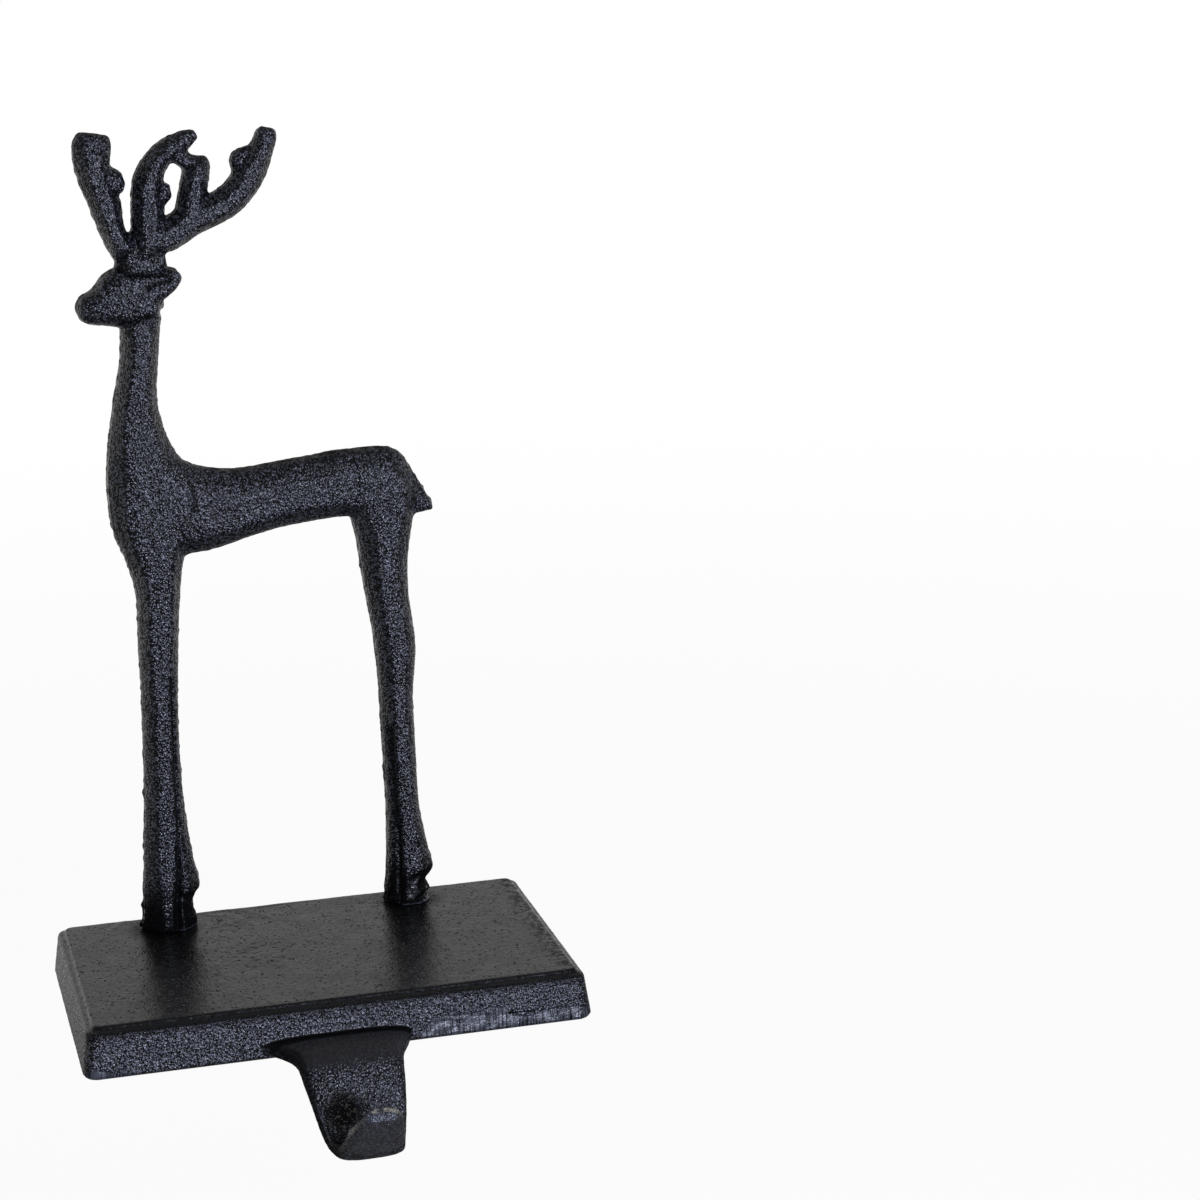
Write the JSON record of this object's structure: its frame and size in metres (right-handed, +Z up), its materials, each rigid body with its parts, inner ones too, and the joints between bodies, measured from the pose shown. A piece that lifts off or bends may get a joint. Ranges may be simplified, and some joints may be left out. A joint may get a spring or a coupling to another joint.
{
  "type": "mantel stocking holder",
  "caption": "Cast iron mantel stocking holder: a standing reindeer with antlers, screwed to a rectangular weighted base with a curled stocking hook in front.",
  "frame": {"origin": "centre of the base's rest face, where it meets the mantel shelf", "axes": "+X along the length of the base with the reindeer looking towards -X, +Y to the back of the shelf, +Z up along the figure; the hook hangs forwards and down at -Y"},
  "size_m": [0.1202, 0.1098, 0.2243],
  "materials": {
    "figure_paint": "rough sand casting under satin black paint",
    "base_paint": "sand casting, partly ground, under satin black paint",
    "screw_steel": "plain zinc plated"
  },
  "bodies": {
    "root": {"reindeer": "figure_paint", "base": "base_paint", "fixing_screws": "screw_steel"}
  },
  "joints": []
}
